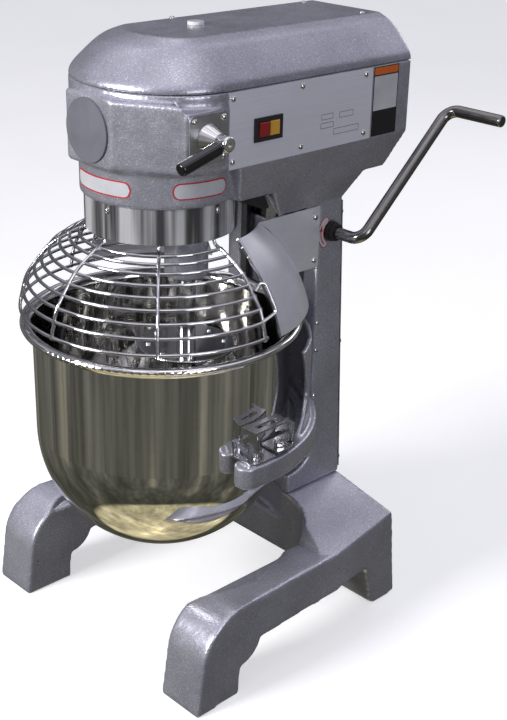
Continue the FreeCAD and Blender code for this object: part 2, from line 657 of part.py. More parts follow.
BAND = size("band_radius")
turned("collar_band", rectangle(BAND - size("band_sheet"), size("band_low_z"), BAND, size("band_high_z")))
head_screws += screws([(polar(dim["band_radius"] - 0.1, angle, 577), polar(1, angle, 0))
                       for angle in (-141, -82, 8, 95, 172)], head=3.8)
solid("head_screws", Part.makeCompound(head_screws))


def guard_profile(offset):
    """Half section of the splash guard as a curve, moved inwards by offset."""
    curve = Part.BSplineCurve()
    points = [(dim["guard_low_z"], 178.5), (458, 174), (474, 167.5), (490, 159), (506, 149), (522, 137),
              (534, 126.5), (dim["guard_high_z"], 115)]
    curve.interpolate([V(radius - offset, 0, z - offset * 0.6 * (z > 450)) for z, radius in points])
    return curve.toShape()


def splash_guard():
    """Domed sheet on the control side, with a flat flange along the column's side."""
    outer, inner = guard_profile(0), guard_profile(dim["guard_sheet"])
    ends = [(outer.Vertexes[k].Point, inner.Vertexes[k].Point) for k in (0, 1)]
    rims = [Part.makeLine(*pair) for pair in ends]
    face = Part.Face(Part.Wire(Part.__sortEdges__([outer, rims[1], inner, rims[0]])))
    dome = face.revolve(V(0, 0, 0), Z, 360)
    edge = math.radians(dim["guard_edge_angle"] - 90)
    side = COLUMN_X + 0.2
    lead = math.tan(edge) * side
    keep = [V(side, lead, 400), V(300, math.tan(edge) * 300, 400), V(300, 400, 400), V(side, 400, 400)]
    dome = dome.common(polygon_face(keep).extrude(V(0, 0, 200)))
    low, high = dim["guard_flange_low_z"], dim["guard_high_z"]
    flange = [(183.5, low), (183.5, high), (78.5, high), (96, 534), (108.5, 522), (123, 506), (135, 490),
              (144.6, low)]
    dome = dome.fuse(prism_x(flange, side, side + dim["guard_sheet"]))
    for z in (533, 477):
        dome = dome.cut(cylinder(2.1, V(80, 175.5, z), V(90, 175.5, z)))
    return dome


right_guard = splash_guard()
solid("splash_guard_right", right_guard)
solid("splash_guard_left", right_guard.mirror(V(), X))
flange_face = COLUMN_X + 0.2 + dim["guard_sheet"]
column_screws = screws([(V(side * flange_face, 175.5, z), V(side, 0, 0))
                        for side in (-1, 1) for z in (477, 533)], length=6)
bracket = [(55, 582.8), (90, 582.8), (101, 559.5), (94, 557.5), (55, 574.5)]
solid("interlock_switch", prism_x(bracket, 74, 78.4).fuse(cylinder(3, V(76.2, 94.5, 551), V(76.2, 94.5, 560))))
turned("guard_track", [(82.2, 543.6), (84.1, 543.6), (84.1, 545.6), (82.9, 545.6), (82.9, 554.4), (88.8, 554.4),
                       (88.8, 556), (82.2, 556)])

RINGS = [(170.1, 443.4), (165.2, 461.2), (160.1, 475.8), (151.2, 489.0), (142.4, 500.7), (133.0, 511.5),
         (120.5, 520.5), (108.5, 527.5), (97.6, 533.2)]
RIB_LAST = 93.5


def wire_guard():
    """Nine hoops welded to six ribs that hang from a turning ring."""
    wire, step = dim["wire_radius"], dim["rib_step"]
    angles = [RIB_LAST - step * k for k in range(6)]
    span = angles[0] - angles[-1]
    parts = []
    for radius, z in RINGS:
        profile = Part.Wire(Part.makeCircle(wire, V(radius, 0, z), Y))
        hoop = Part.Face(profile).revolve(V(), Z, span + 3)
        hoop.rotate(V(), Z, angles[-1] - 90 - 1.5)
        parts.append(hoop)
    points = [(170.1, 441.0)] + RINGS[1:] + [(89.4, 537.2), (86.8, 543.2), (86.7, 549)]
    for angle in angles:
        curve = Part.BSplineCurve()
        route = [polar(radius + 1.2 * (z < 535), angle, z) for radius, z in points]
        curve.interpolate(route)
        path = Part.Wire(curve.toShape())
        profile = Part.Wire(Part.makeCircle(wire, route[0], curve.tangent(0)[0]))
        parts.append(path.makePipeShell([profile], True, False))
    corners = [(154, 93.5, 497), (154, 98.0, 510), (174.5, 98.2, 474), (167.5, 93.5, 464)]
    parts.append(bent_rod([polar(*corner) for corner in corners], wire, 5))
    parts.append(tube(88.2, 83.2, V(0, 0, 546), V(0, 0, 554)))
    cage = parts[0].multiFuse(parts[1:])
    return cage


solid("wire_guard", wire_guard())

# ---- Crank, rack and carriage --------------------------------------------------------------------

CRANK = V(0, dim["crank_y"], dim["crank_z"])
MODULE, CRANK_TEETH, IDLER_TEETH = dim["lift_module"], int(dim["crank_teeth"]), int(dim["idler_teeth"])
CRANK_PITCH, IDLER_PITCH = MODULE * CRANK_TEETH / 2, MODULE * IDLER_TEETH / 2
idler_rise = math.sqrt((CRANK_PITCH + IDLER_PITCH) ** 2 - (dim["crank_y"] - dim["idler_y"]) ** 2)
IDLER = V(0, dim["idler_y"], dim["crank_z"] - idler_rise)
bushes = []
for inner_x, flange_x, rim_x, outer_x in ((76, 83.6, 87.6, 94), (-76, -83.6, -86, -86)):
    bush = cylinder(10.9, CRANK + X * inner_x, CRANK + X * outer_x)
    bush = bush.fuse(cylinder(12.5, CRANK + X * flange_x, CRANK + X * rim_x))
    bushes.append(bush.cut(cylinder(dim["crank_rod"] + 0.05, CRANK - X * 100, CRANK + X * 100)))
solid("crank_bushes", Part.makeCompound(bushes))
elbow = V(dim["crank_elbow_x"], dim["crank_y"], dim["crank_z"])
elbow_top = V(dim["crank_elbow_x"], dim["crank_reach_y"], dim["crank_reach_z"])
crank_end = V(dim["crank_end_x"], dim["crank_reach_y"], dim["crank_reach_z"])
crank = bent_rod([CRANK - X * 85.5, elbow, elbow_top, crank_end], dim["crank_rod"], dim["crank_bend"])
solid("crank_handle", fillet_where(crank, 2.5, lambda edge: edge.BoundBox.XMin > dim["crank_end_x"] - 1))


def mesh_phase(phase, teeth, toward, mate_teeth):
    """Phase that puts a mating external gear in mesh; toward is the direction from the first to it."""
    pitches = (toward - phase) * teeth / (2 * math.pi)
    return toward + math.pi + (pitches % 1 + 0.5) * 2 * math.pi / mate_teeth


IDLER_PHASE = -math.pi / 2
toward_crank = math.atan2(CRANK.y - IDLER.y, -(CRANK.z - IDLER.z))
solid("crank_gear", spur_gear(CRANK_TEETH, MODULE, CRANK + X * 11, 10, X, dim["crank_rod"],
                              mesh_phase(IDLER_PHASE, IDLER_TEETH, toward_crank, CRANK_TEETH)))
idler = spur_gear(IDLER_TEETH, MODULE, IDLER - X * 9, 30, X, 0, IDLER_PHASE)
solid("lift_idler", idler.fuse(cylinder(4.95, IDLER - X * 32, IDLER + X * 32)))


def lift_rack():
    """Rack bar whose teeth face the idler, with a gap at the idler's height."""
    pitch_y, pitch = IDLER.y - IDLER_PITCH, math.pi * MODULE
    back, low, high = FRONT_Y - 3, 300, 570
    quarter, flank = pitch / 4 - 0.08, math.tan(math.radians(20))
    tip, root = 0.85 * MODULE, 1.25 * MODULE
    points = [(back, low), (pitch_y - root, low)]
    first = IDLER.z - pitch / 2 - 3 * pitch
    for tooth in range(int((high - 2 - first) / pitch)):
        z = first + tooth * pitch
        points += [(pitch_y - root, z - quarter - root * flank), (pitch_y + tip, z - quarter + tip * flank),
                   (pitch_y + tip, z + quarter - tip * flank), (pitch_y - root, z + quarter + root * flank)]
    points += [(pitch_y - root, high), (back, high)]
    return polygon_face([V(-9, y, z) for y, z in points]).extrude(V(18, 0, 0))


solid("lift_rack", lift_rack())


def carriage():
    """Forked bowl carrier: a C-shaped arm, a curved web and the slide block that rides in the column."""
    low, high, inner, outer = dim["arm_low_z"], dim["arm_high_z"], dim["arm_inner"], dim["arm_outer"]
    end_y = dim["arm_end_y"]
    back = FRONT_Y - 0.5
    ring = tube(outer, inner, V(0, 0, low), V(0, 0, high))
    ring = ring.cut(box(-220, 220, -220, end_y, low - 1, high + 1))
    ring = ring.cut(box(-220, 220, back, 220, low - 1, high + 1))
    web = tube(184.5, 178.5, V(0, 0, low), V(0, 0, 404))
    crescent = [(back, low - 1), (back, 404), (80, 404), (102, 343, -128), (62, high - 2, -58), (62, low - 1)]
    web = web.common(prism_x(crescent, -190, 190)).cut(box(-220, 220, back, 220, 200, 500))
    ring = ring.fuse(web)
    half = dim["slide_half_width"]
    ring = ring.fuse(box(-half + 6, half - 6, 171.5, back, low + 4, 396).cut(
        cylinder(171.6, V(0, 0, 200), V(0, 0, 500))))
    ring = ring.fuse(box(-half + 6, half - 6, back - 1, FRONT_Y + 5, low + 4, 396))
    block = box(-half, half, FRONT_Y + 4.4, FRONT_Y + dim["dovetail_depth"] - 0.4, low + 4, 396)
    ring = ring.fuse(block)
    ring = ring.cut(box(-9, 9, FRONT_Y - 3, 205, 300, 410))
    middle, end_radius = (inner + outer) / 2, (outer - inner) / 2
    for side in (-1, 1):
        tip = V(side * math.sqrt(middle ** 2 - end_y ** 2), end_y, low)
        ring = ring.fuse(cylinder(end_radius, tip, tip + Z * (high - low)))
        ring = ring.cut(cylinder(5, V(side * 176, -5, high - 16), V(side * 176, -5, high + 1)))
        ring = ring.cut(cylinder(4, V(side * 178, 30, high - 16), V(side * 178, 30, high + 1)))
    return ring.removeSplitter()


solid("bowl_carriage", carriage())
gibs = []
for side in (-1, 1):
    block_x, slot_x = dim["slide_half_width"] + 0.3, dim["dovetail_half_width"] - 0.1
    depth = dim["dovetail_depth"]
    gib = box(block_x, slot_x, FRONT_Y + 0.3, FRONT_Y + depth - 0.1, 192, 560)
    gib = gib.fuse(box(block_x - 5.6, slot_x, FRONT_Y + 0.3, FRONT_Y + 4.1, 192, 560))
    gibs.append(gib if side > 0 else gib.mirror(V(), X))
solid("slide_gibs", Part.makeCompound(gibs))
column_screws += screws([(V(side * COLUMN_X, 189, z), V(side, 0, 0))
                         for side in (-1, 1) for z in (285, 350, 388)], head=3.4, height=2, length=25.3)
solid("column_screws", Part.makeCompound(column_screws))
PIN_X, PIN_Y, CLAMP_X, CLAMP_Y = 176, -5, 178, 30
pins, bolts = [], []
for side in (-1, 1):
    foot = V(side * PIN_X, PIN_Y, dim["arm_high_z"])
    pin = cylinder(5, foot - Z * 16, foot + Z * 3).fuse(cylinder(4, foot, foot + Z * 27))
    pins.append(pin.fuse(Part.makeCone(4, 1.6, 5, foot + Z * 27)))
    foot = V(side * CLAMP_X, CLAMP_Y, dim["arm_high_z"])
    hexagon = [V(6 * math.cos(math.pi * k / 3), 6 * math.sin(math.pi * k / 3), 8) + foot for k in range(6)]
    bolts.append(cylinder(4, foot - Z * 15, foot + Z * 8.5).fuse(polygon_face(hexagon).extrude(Z * 5)))
solid("locating_pins", Part.makeCompound(pins))
solid("clamp_bolts", Part.makeCompound(bolts))


def bowl_clamp(side):
    """Bent sheet latch on its bolt: a slotted thumb plate and a notched front wall over the pin."""
    high = dim["arm_high_z"]
    sheet_t, top = 2.5, high + 38
    flange = box(160, 190, 18, 44, high + 4.3, high + 4.3 + sheet_t)
    rear = box(160, 190, 44 - sheet_t, 44, high + 4.3, top)
    plate = box(160, 182, -12, 44, top - sheet_t, top)
    front = box(160, 182, -12, -12 + sheet_t, high + 6, top)
    latch = flange.fuse([rear, plate, front])
    slot = cylinder(4, V(171, 2, top - 5), V(171, 2, top + 1)).fuse(
        [cylinder(4, V(171, 28, top - 5), V(171, 28, top + 1)), box(167, 175, 2, 28, top - 5, top + 1)])
    notch = cylinder(5, V(173, -15, high + 17), V(173, -5, high + 17)).fuse(
        box(168, 178, -15, -5, high, high + 17))
    latch = latch.cut(slot).cut(notch)
    latch = latch.cut(cylinder(4.1, V(CLAMP_X, CLAMP_Y, high), V(CLAMP_X, CLAMP_Y, high + 20)))
    latch = latch.cut(cylinder(6.6, V(CLAMP_X, CLAMP_Y, high + 7), V(CLAMP_X, CLAMP_Y, high + 20)))
    return latch if side > 0 else latch.mirror(V(), X)


for side, label in ((1, "bowl_clamp_right"), (-1, "bowl_clamp_left")):
    solid(label, bowl_clamp(side))

# ---- Bowl ----------------------------------------------------------------------------------------

BOWL, THIN, KNUCKLE, RIM, BEAD = (size(name) for name in (
    "bowl_radius", "bowl_wall", "bowl_knuckle_z", "bowl_rim_radius", "bowl_bead"))
RIM_Z = size("bowl_rim_z")
turned("bowl", [
    (0, KNUCKLE - BOWL), (BOWL, KNUCKLE, BOWL), (BOWL, RIM_Z - 12), (BOWL + 6.5, RIM_Z - 5, -11),
    (RIM - BEAD, RIM_Z - BEAD), (RIM, RIM_Z, BEAD), (RIM - BEAD, RIM_Z + BEAD, BEAD), (BOWL + 3, RIM_Z + 2.5, 14),
    (BOWL - THIN, RIM_Z - 8, 14), (BOWL - THIN, KNUCKLE), (0, KNUCKLE - BOWL + THIN, THIN - BOWL)])


def bowl_ear(side):
    """Ear welded to the bowl wall; it rests on the arm and drops over the locating pin."""
    high, radius = dim["arm_high_z"], dim["bowl_radius"]
    outline = [(150, -24), (184, -24), (190, -14, 10), (190, 12), (184, 16, 6), (150, 16)]
    plate = prism_z(outline, high + 0.3, high + 3.3)
    plate = plate.cut(cylinder(radius + 0.02, V(0, 0, 200), V(0, 0, 400)))
    web = tube(radius + 2.6, radius + 0.02, V(0, 0, high + 0.3), V(0, 0, high + 22)).common(
        box(140, 170, -24, 16, 290, 330))
    ear = plate.fuse(web).cut(cylinder(5.6, V(PIN_X, PIN_Y, 290), V(PIN_X, PIN_Y, 310)))
    return ear if side > 0 else ear.mirror(V(), X)


solid("bowl_ears", Part.makeCompound([bowl_ear(1), bowl_ear(-1)]))

bolts = []
for x in (-60, 60):
    for y in (WALL_Y + 40, dim["column_foot_rear_y"] - 24):
        seat = V(x, y, dim["base_top_z"] + 14.1)
        hexagon = [V(8.5 * math.cos(math.pi * k / 3), 8.5 * math.sin(math.pi * k / 3), 0) for k in range(6)]
        bolt = cylinder(5, seat - Z * 40, seat + Z)
        for low in (seat, seat - Z * 35.2):
            bolt = bolt.fuse(polygon_face([corner + low for corner in hexagon]).extrude(Z * 7))
        bolts.append(bolt)
solid("column_bolts", Part.makeCompound(bolts))

# ---- Planetary head ------------------------------------------------------------------------------

OFFSET = V(dim["eccentricity"], 0, 0)
RING_TEETH, PLANET_TEETH, GEAR = int(dim["ring_teeth"]), int(dim["planet_teeth"]), dim["planet_module"]
ring_pitch = GEAR * RING_TEETH / 2
gaps = gear_corners(RING_TEETH, ring_pitch - 0.85 * GEAR, ring_pitch + 1.25 * GEAR, ring_pitch, -0.16)
cutter = polygon_face([V(x, y, 596) for x, y in gaps]).extrude(Z * 14)
solid("ring_gear", cylinder(dim["planetary_bore"] - 0.1, Z * 596, Z * 610).cut(cutter))
solid("planet_pinion", spur_gear(PLANET_TEETH, GEAR, OFFSET + Z * 597, 12, Z, dim["spindle_radius"], 0.0, 0.16))

boss = fillet_where(cylinder(dim["boss_radius"], OFFSET + Z * 490, OFFSET + Z * 562), 3,
                    lambda edge: edge.BoundBox.ZMax < 491)
disc = fillet_where(cylinder(dim["planetary_bore"] - 2, Z * 560, Z * 590), 3,
                    lambda edge: edge.BoundBox.ZMax < 561)
carrier = disc.fuse(boss).cut(cylinder(dim["spindle_radius"] + 0.05, OFFSET + Z * 480, OFFSET + Z * 600))
solid("planet_carrier", carrier.cut(cylinder(12, Z * 559, Z * 591)))
solid("planetary_shaft", cylinder(12, Z * 560.5, Z * 655))
solid("planetary_bearing", tube(23.9, 12.05, Z * 620.2, Z * 640))
SHAFT_Z, TOOTH_BIG, TOOTH_SMALL = dim["hub_axis_z"], int(dim["bevel_large_teeth"]), int(dim["bevel_small_teeth"])
solid("bevel_gear", bevel_gear(TOOTH_BIG, dim["bevel_module"], TOOTH_SMALL, Z * SHAFT_Z, -Z, 12))

drive_pin = cylinder(2.5, OFFSET + V(-13, 0, 474), OFFSET + V(13, 0, 474))
spindle = cylinder(dim["spindle_radius"], OFFSET + Z * 410, OFFSET + Z * 611)
solid("agitator_spindle", spindle.fuse(drive_pin))


def whisk():
    """Balloon whisk: a socket with a bayonet slot, a round plate and a cage of wires."""
    sleeve = cylinder(dim["agitator_sleeve"], OFFSET + Z * 400, OFFSET + Z * 481)
    sleeve = sleeve.fuse(fillet_where(cylinder(59, OFFSET + Z * 398, OFFSET + Z * 402.5), 1.5, lambda edge: True))
    sleeve = sleeve.cut(cylinder(dim["spindle_radius"] + 0.1, OFFSET + Z * 405, OFFSET + Z * 490))
    sleeve = sleeve.cut(box(dim["eccentricity"] - 15, dim["eccentricity"] + 15, -2.8, 2.8, 471.2, 490))
    curve = Part.BSplineCurve()
    route = [V(54, 0, 400), V(63, 0, 375), V(82, 0, 320), V(92, 0, 260), V(84, 0, 210), V(56, 0, 173),
             V(16, 0, 158), V(4, 0, 156)]
    curve.interpolate([point + OFFSET for point in route])
    profile = Part.Wire(Part.makeCircle(1.7, route[0] + OFFSET, curve.tangent(0)[0]))
    wire = Part.Wire(curve.toShape()).makePipeShell([profile], True, False)
    wires = []
    for number in range(16):
        copy = wire.copy()
        copy.rotate(OFFSET, Z, number * 22.5)
        wires.append(copy)
    rivets = []
    for number in range(8):
        angle = math.radians(45 * number + 11)
        place = OFFSET + V(46 * math.cos(angle), 46 * math.sin(angle), 402)
        rivets.append(cylinder(3, place, place + Z * 2.4))
    tip = cylinder(14, OFFSET + Z * 153.5, OFFSET + Z * 160)
    return sleeve.multiFuse([tip] + wires + rivets)


solid("whisk", whisk())

# ---- Drive: motor, belt, layshaft and hub shaft --------------------------------------------------

DRIVE, LAY, MOTOR = Z * SHAFT_Z, V(dim["lay_x"], 0, dim["lay_z"]), V(dim["motor_x"], 0, dim["motor_z"])
MAIN_TEETH, LAY_TEETH = int(dim["main_teeth"]), int(dim["lay_teeth"])
SHAFT = dim["shaft_radius"]
shaft = cylinder(SHAFT, DRIVE - Y * 60, DRIVE + Y * 141).fuse(cylinder(12.95, DRIVE - Y * 100, DRIVE - Y * 59))
square = box(-4.9, 4.9, -101, -70, SHAFT_Z - 4.9, SHAFT_Z + 4.9)
solid("main_shaft", shaft.cut(square))
quarter_turn = math.pi / TOOTH_SMALL
solid("bevel_pinion", bevel_gear(TOOTH_SMALL, dim["bevel_module"], TOOTH_BIG, DRIVE, Y, SHAFT, 0.3, quarter_turn))
toward_lay = math.atan2(-(dim["lay_z"] - SHAFT_Z), dim["lay_x"])
solid("main_gear", spur_gear(MAIN_TEETH, dim["gear_module"], DRIVE + Y * 115, 12, Y, SHAFT, 0.0))
solid("lay_gear", spur_gear(LAY_TEETH, dim["gear_module"], LAY + Y * 115, 12, Y, 7,
                            mesh_phase(0.0, MAIN_TEETH, toward_lay, LAY_TEETH)))
solid("lay_shaft", cylinder(7, LAY + Y * 110, LAY + Y * 176))


def pulley(middle, radius, bore):
    """Flat belt pulley with a flange on each side."""
    first, last = dim["belt_y"] - 8, dim["belt_y"] + 8
    wheel = cylinder(radius, middle + Y * first, middle + Y * last)
    for start in (first, last - 1.5):
        wheel = wheel.fuse(cylinder(radius + 4, middle + Y * start, middle + Y * (start + 1.5)))
    return wheel.cut(cylinder(bore, middle + Y * (first - 1), middle + Y * (last + 1)))


solid("lay_pulley", pulley(LAY, dim["lay_pulley_radius"], 7))
solid("motor_pulley", pulley(MOTOR, dim["motor_pulley_radius"], 7))
solid("motor_shaft", cylinder(7, MOTOR + Y * 146, MOTOR + Y * 262))
case = fillet_where(cylinder(dim["motor_radius"], MOTOR + Y * 174.2, MOTOR + Y * 267), 5, lambda edge: True)
for groove in range(7):
    start = 186 + groove * 10
    fin_root = dim["motor_radius"] - 4
    case = case.cut(tube(fin_root + 5, fin_root, MOTOR + Y * start, MOTOR + Y * (start + 4)))
solid("motor", case.cut(cylinder(7.05, MOTOR + Y * 170, MOTOR + Y * 264)))


def drive_belt():
    """Flat belt wrapped around both pulleys with straight runs between them."""
    gap = LAY - MOTOR
    lean = math.asin((dim["lay_pulley_radius"] - dim["motor_pulley_radius"]) / gap.Length)
    heading = math.atan2(gap.z, gap.x)

    def loop(extra):
        points = []
        for middle, radius, first, last in (
                (LAY, dim["lay_pulley_radius"] + extra, -math.pi / 2 - lean, math.pi / 2 + lean),
                (MOTOR, dim["motor_pulley_radius"] + extra, math.pi / 2 + lean, 3 * math.pi / 2 - lean)):
            for step in range(25):
                angle = heading + first + (last - first) * step / 24
                points.append(V(middle.x + radius * math.cos(angle), dim["belt_y"] - 5.8,
                                middle.z + radius * math.sin(angle)))
        return polygon_face(points).extrude(Y * 11.6)

    return loop(3.4).cut(loop(0.4))


solid("drive_belt", drive_belt())


def cross_plate(y0, y1):
    """Plate across the head's inside, wide above the belly and narrow in it."""
    upper = dim["head_half_width"] - dim["head_wall"] - 0.1
    lower = upper - 16
    shoulder, floor = dim["head_side_z"] + 6.1, dim["head_low_z"] + dim["head_wall"] + 0.1
    return box(-upper, upper, y0, y1, shoulder, 708).fuse(box(-lower, lower, y0, y1, floor, shoulder))


plate = cross_plate(131, 139).cut(cylinder(SHAFT + 0.05, DRIVE + Y * 130, DRIVE + Y * 140))
solid("bearing_plate", plate.cut(cylinder(7.05, LAY + Y * 130, LAY + Y * 140)))
plate = cross_plate(168, 174).cut(cylinder(7.05, LAY + Y * 160, LAY + Y * 180))
solid("motor_mount", plate.cut(cylinder(12, MOTOR + Y * 160, MOTOR + Y * 180)))
pedestal = box(-24, 24, 58, 66, dim["head_side_z"] + 6.1, 692)
solid("front_bearing", pedestal.cut(cylinder(SHAFT + 0.05, DRIVE + Y * 50, DRIVE + Y * 70)))

# ---- Checks and export ---------------------------------------------------------------------------

doc.recompute()
for item in doc.Objects:
    if {"Invalid", "Error"} & set(item.State):
        raise RuntimeError(f"{item.Label} did not recompute: {item.State}")
os.makedirs("parts", exist_ok=True)
for item in node_items:
    if item.Shape.isNull() or not item.Shape.isValid():
        raise RuntimeError(f"{item.Label} has no valid shape")
for item in node_items:
    item.Shape.exportStep(f"parts/{item.Label}.step")
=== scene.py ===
import json
import math

import bmesh
import bpy
from mathutils import Matrix, Vector


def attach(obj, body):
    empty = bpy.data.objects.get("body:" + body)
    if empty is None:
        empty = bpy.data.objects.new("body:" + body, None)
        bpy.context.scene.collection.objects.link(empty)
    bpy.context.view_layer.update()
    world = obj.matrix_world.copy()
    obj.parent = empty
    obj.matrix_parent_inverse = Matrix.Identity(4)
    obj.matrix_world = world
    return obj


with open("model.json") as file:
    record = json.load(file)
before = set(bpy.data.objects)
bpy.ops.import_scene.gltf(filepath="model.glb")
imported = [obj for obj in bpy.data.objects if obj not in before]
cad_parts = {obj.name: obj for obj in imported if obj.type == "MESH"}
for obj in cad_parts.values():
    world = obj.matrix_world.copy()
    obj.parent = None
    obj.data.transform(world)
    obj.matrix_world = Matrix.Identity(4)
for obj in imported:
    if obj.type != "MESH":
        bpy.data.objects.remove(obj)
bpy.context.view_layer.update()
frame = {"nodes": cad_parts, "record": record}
NODES = frame["nodes"]
scene = bpy.context.scene
BOWL_Y = -0.0975  # the bowl's axis
SKIRT_RADIUS = 0.095
COLUMN_FACE = 0.0834  # x of the faces that look along +X
HEAD_FACE = 0.1143
PANEL_FACE = 0.1151

# ---- Camera --------------------------------------------------------------------------------------

CAMERA_PLACE = (1.13487, -1.04146, 1.01878)
CAMERA_TURN = (45.85, 23.91, 1.4)  # azimuth, elevation and roll in degrees
SENSOR_HEIGHT = 36
FOCAL_LENGTH = 64.8775

def make_camera():
    azimuth, elevation, roll = (math.radians(angle) for angle in CAMERA_TURN)
    level = math.cos(elevation)
    back = Vector((math.sin(azimuth) * level, -math.cos(azimuth) * level, math.sin(elevation)))
    right = Vector((0, 0, 1)).cross(back).normalized()
    up = back.cross(right)
    turned_right = right * math.cos(roll) + up * math.sin(roll)
    turned_up = up * math.cos(roll) - right * math.sin(roll)
    data = bpy.data.cameras.new("Camera")
    data.sensor_fit = "VERTICAL"
    data.sensor_height = SENSOR_HEIGHT
    data.lens = FOCAL_LENGTH
    camera = bpy.data.objects.new("Camera", data)
    scene.collection.objects.link(camera)
    axes = Matrix((turned_right, turned_up, back)).transposed().to_4x4()
    camera.matrix_world = Matrix.Translation(CAMERA_PLACE) @ axes
    scene.camera = camera


make_camera()

# ---- Material helpers ----------------------------------------------------------------------------


class Nodes:
    """A material's node tree with short calls for the nodes it uses."""

    def __init__(self, name):
        self.material = bpy.data.materials.new(name)
        self.material.use_nodes = True
        self.tree = self.material.node_tree
        self.shader = self.tree.nodes["Principled BSDF"]
        self.place = self.tree.nodes.new("ShaderNodeTexCoord").outputs["Object"]

    def link(self, source, target):
        self.tree.links.new(source, target)

    def set(self, **values):
        for name, value in values.items():
            socket = self.shader.inputs[name.replace("_", " ")]
            socket.default_value = (*value, 1) if isinstance(value, tuple) else value
        return self

    def stretched(self, scale):
        node = self.tree.nodes.new("ShaderNodeMapping")
        node.inputs["Scale"].default_value = scale
        self.link(self.place, node.inputs["Vector"])
        return node.outputs["Vector"]

    def noise(self, scale, detail=2.0, roughness=0.5, vector=None):
        node = self.tree.nodes.new("ShaderNodeTexNoise")
        node.inputs["Scale"].default_value = scale
        node.inputs["Detail"].default_value = detail
        node.inputs["Roughness"].default_value = roughness
        self.link(vector or self.place, node.inputs["Vector"])
        return node.outputs["Fac"]

    def cells(self, scale):
        node = self.tree.nodes.new("ShaderNodeTexVoronoi")
        node.inputs["Scale"].default_value = scale
        self.link(self.place, node.inputs["Vector"])
        return node.outputs["Color"]

    def spread(self, source, low, high, to_low, to_high):
        node = self.tree.nodes.new("ShaderNodeMapRange")
        for name, value in zip(("From Min", "From Max", "To Min", "To Max"), (low, high, to_low, to_high)):
            node.inputs[name].default_value = value
        self.link(source, node.inputs["Value"])
        return node.outputs["Result"]

    def ramp(self, source, *stops):
        node = self.tree.nodes.new("ShaderNodeValToRGB")
        ramp = node.color_ramp
        while len(ramp.elements) < len(stops):
            ramp.elements.new(0.5)
        for element, (at, color) in zip(ramp.elements, stops):
            element.position, element.color = at, (*color, 1)
        self.link(source, node.inputs["Fac"])
        return node.outputs["Color"]

    def mixed(self, factor, first, second, mode="MIX"):
        node = self.tree.nodes.new("ShaderNodeMix")
        node.data_type, node.blend_type = "RGBA", mode
        for socket, value in ((node.inputs[0], factor), (node.inputs[6], first), (node.inputs[7], second)):
            if isinstance(value, (int, float)):
                socket.default_value = value
            elif isinstance(value, tuple):
                socket.default_value = (*value, 1)
            else:
                self.link(value, socket)
        return node.outputs[2]

    def sum(self, first, second, mode="ADD"):
        node = self.tree.nodes.new("ShaderNodeMath")
        node.operation = mode
        for socket, value in zip(node.inputs, (first, second)):
            if isinstance(value, (int, float)):
                socket.default_value = value
            else:
                self.link(value, socket)
        return node.outputs[0]

    def round_off(self, radius):
        node = self.tree.nodes.new("ShaderNodeBevel")
        node.samples = 4
        node.inputs["Radius"].default_value = radius
        return node.outputs["Normal"]

    def bump(self, height, strength, distance=0.001, normal=None):
        node = self.tree.nodes.new("ShaderNodeBump")
        node.inputs["Strength"].default_value = strength
        node.inputs["Distance"].default_value = distance
        self.link(height, node.inputs["Height"])
        if normal:
            self.link(normal, node.inputs["Normal"])
        return node.outputs["Normal"]

    def color(self, source):
        self.link(source, self.shader.inputs["Base Color"])
        return self

    def rough(self, source):
        self.link(source, self.shader.inputs["Roughness"])
        return self

    def normal(self, source):
        self.link(source, self.shader.inputs["Normal"])
        return self


def sparkle_paint(name, base=(0.46, 0.46, 0.53)):
    """Silver flake paint over a sand casting: orange peel, flakes and a slow cloudiness."""
    m = Nodes(name).set(Metallic=0.62, Coat_Weight=0.45, Coat_Roughness=0.16, Specular_IOR_Level=0.5)
    flakes = m.cells(1350)
    clouds = m.noise(9, 3)
    dark = tuple(c * 0.80 for c in base)
    light = tuple(c * 1.16 for c in base)
    tone = m.ramp(clouds, (0.3, dark), (0.7, light))
    speckle = m.ramp(flakes, (0.0, (0.76, 0.76, 0.76)), (0.55, (0.97, 0.97, 0.97)),
                     (0.84, (1.22, 1.22, 1.24)), (0.93, (2.1, 2.1, 2.2)))
    m.color(m.mixed(1.0, tone, speckle, "MULTIPLY"))
    m.rough(m.spread(m.noise(60, 2), 0.3, 0.7, 0.27, 0.38))
    peel = m.sum(m.noise(170, 2), m.sum(m.noise(700, 1), 0.35, "MULTIPLY"))
    return m.normal(m.bump(peel, 0.28, 0.0009)).material


def turned_steel(name, base, low, high, streak, bump, metallic=1.0):
    """Metal with fine parallel marks; streak is the noise's scale along each axis."""
    m = Nodes(name).set(Metallic=metallic)
    lines = m.noise(1.0, 3, 0.6, m.stretched(streak))
    smears = m.noise(14, 3)
    shade = m.ramp(m.sum(lines, smears, "MULTIPLY"), (0.1, tuple(c * 0.86 for c in base)), (0.42, base))
    m.color(shade)
    m.rough(m.spread(m.sum(lines, smears, "MULTIPLY"), 0.12, 0.42, high, low))
    return m.normal(m.bump(lines, bump, 0.0004, m.round_off(0.0006))).material


def mirror_steel(name, base, low, high, wave=0.01):
    """Polished steel with faint spinning waves, smears and dust."""
    m = Nodes(name).set(Metallic=1.0)
    smears = m.noise(18, 4, 0.6)
    m.color(m.ramp(smears, (0.3, tuple(c * 0.93 for c in base)), (0.7, base)))
    m.rough(m.spread(smears, 0.35, 0.72, low, high))
    ripple = m.noise(1.0, 2, 0.5, m.stretched((9, 9, 26)))
    return m.normal(m.bump(ripple, wave, 0.02)).material


